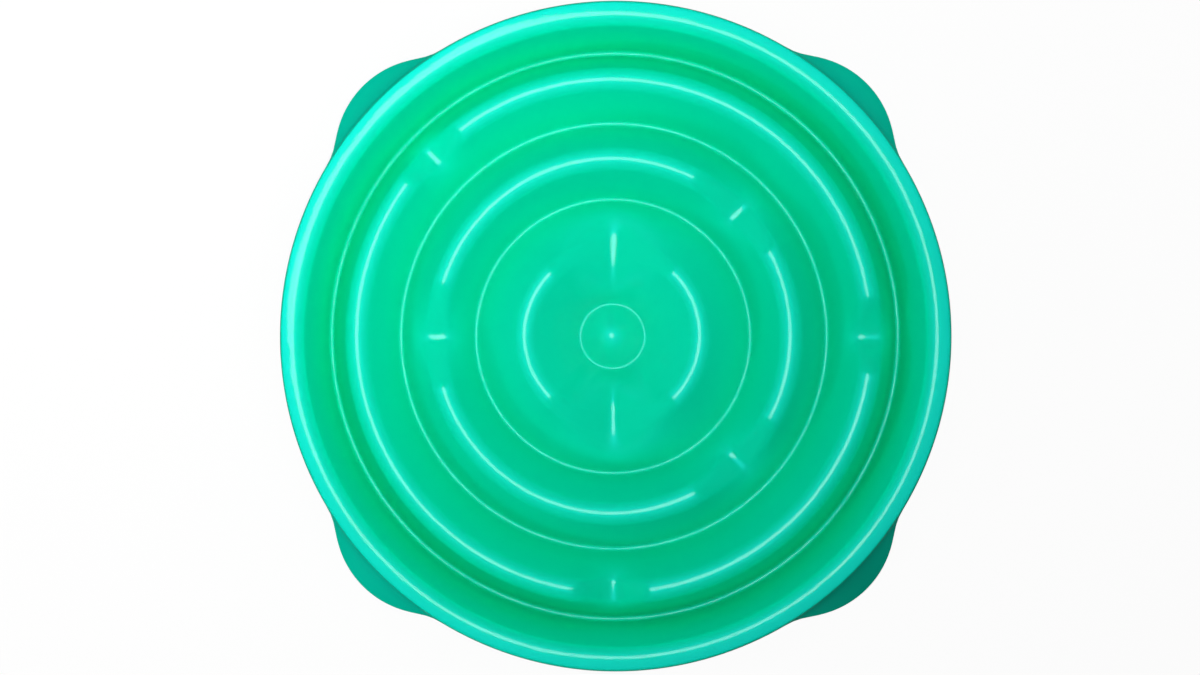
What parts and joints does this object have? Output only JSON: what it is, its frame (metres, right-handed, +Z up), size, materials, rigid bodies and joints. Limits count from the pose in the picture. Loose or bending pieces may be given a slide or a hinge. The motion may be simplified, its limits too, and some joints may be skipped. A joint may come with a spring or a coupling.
{
  "type": "slow feeder bowl",
  "caption": "Round pet bowl with concentric broken ridges inside a rolled rim, a flared skirt with rounded foot lobes, and pressed-in rubber feet.",
  "frame": {"origin": "centre of the bowl on the floor it stands on", "axes": "+Z up out of the bowl, +X to the right and +Y to the rear as the bowl is seen from above"},
  "size_m": [0.298, 0.298, 0.05],
  "materials": {
    "bowl_plastic": "smooth moulded polypropylene, satin gloss, teal",
    "foot_rubber": "matte soft rubber"
  },
  "bodies": {
    "root": {"bowl_shell": "bowl_plastic", "foot_front_left": "foot_rubber", "foot_front_right": "foot_rubber", "foot_rear_left": "foot_rubber", "foot_rear_right": "foot_rubber"}
  },
  "joints": []
}
